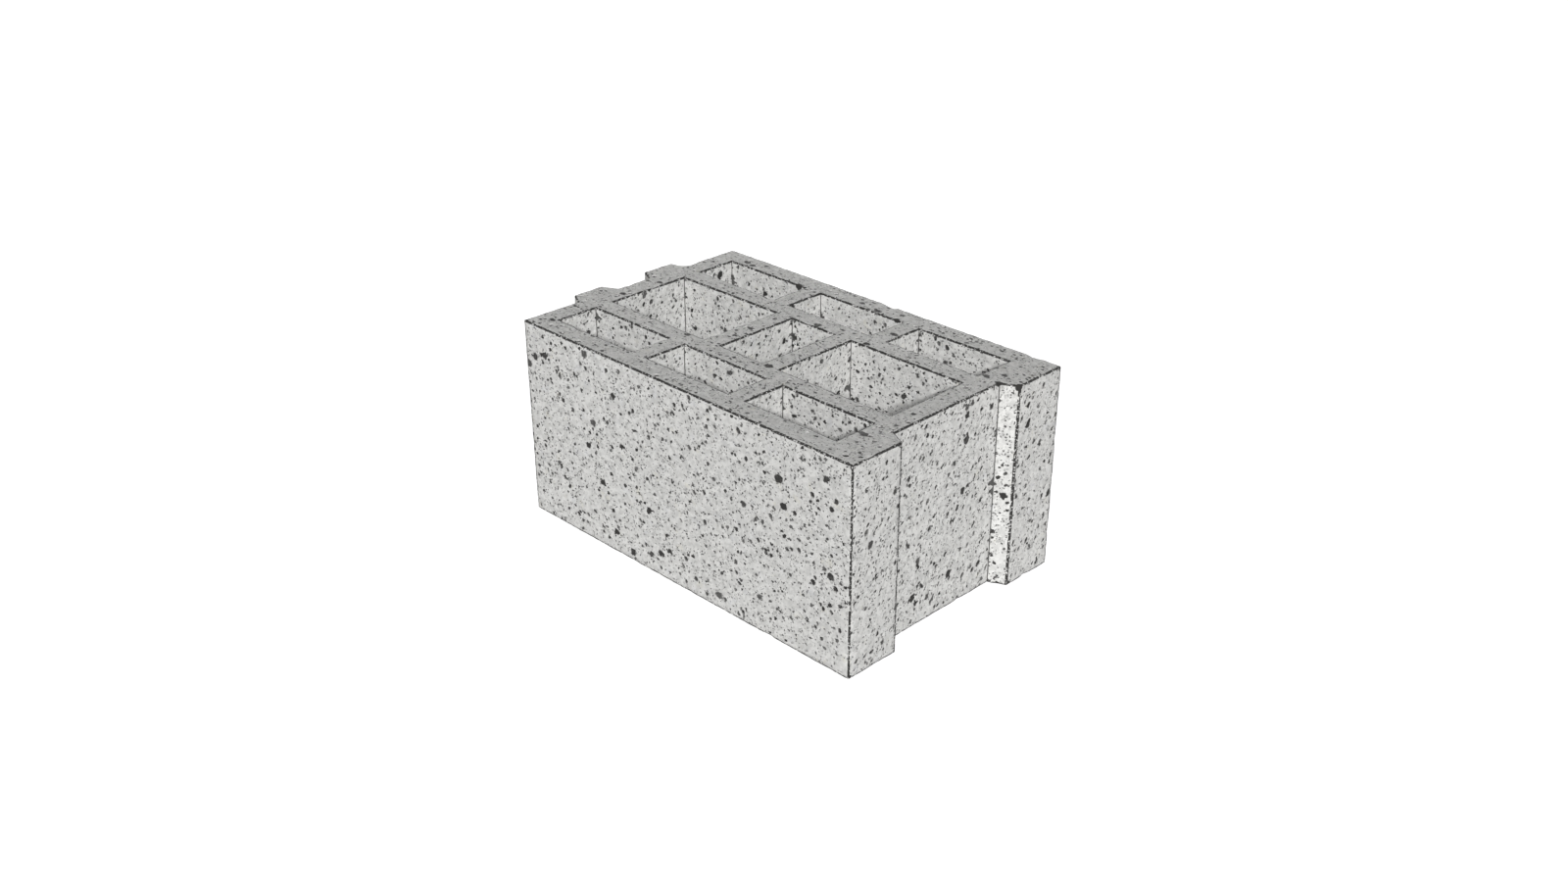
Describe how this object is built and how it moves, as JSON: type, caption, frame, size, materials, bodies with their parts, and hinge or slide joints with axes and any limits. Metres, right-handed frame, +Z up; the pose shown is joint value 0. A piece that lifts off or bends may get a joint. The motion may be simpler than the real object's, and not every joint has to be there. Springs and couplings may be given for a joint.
{
  "type": "hollow pumice block",
  "caption": "Hollow lightweight-concrete wall block of pumice aggregate, with rows of open cells, tongues on one end and a wide groove in the other.",
  "frame": {"origin": "middle of the overall box, tongues included, on the face that the block stands on", "axes": "+X along the block from the tongued end to the grooved end, +Y through the wall to the back face, +Z up along the cells"},
  "size_m": [0.405, 0.25, 0.186],
  "materials": {
    "pumice_concrete": "matt, open-pored light grey pumice concrete with dark grains and pores of 1 to 8 mm"
  },
  "bodies": {
    "root": {"pumice_block": "pumice_concrete"}
  },
  "joints": []
}
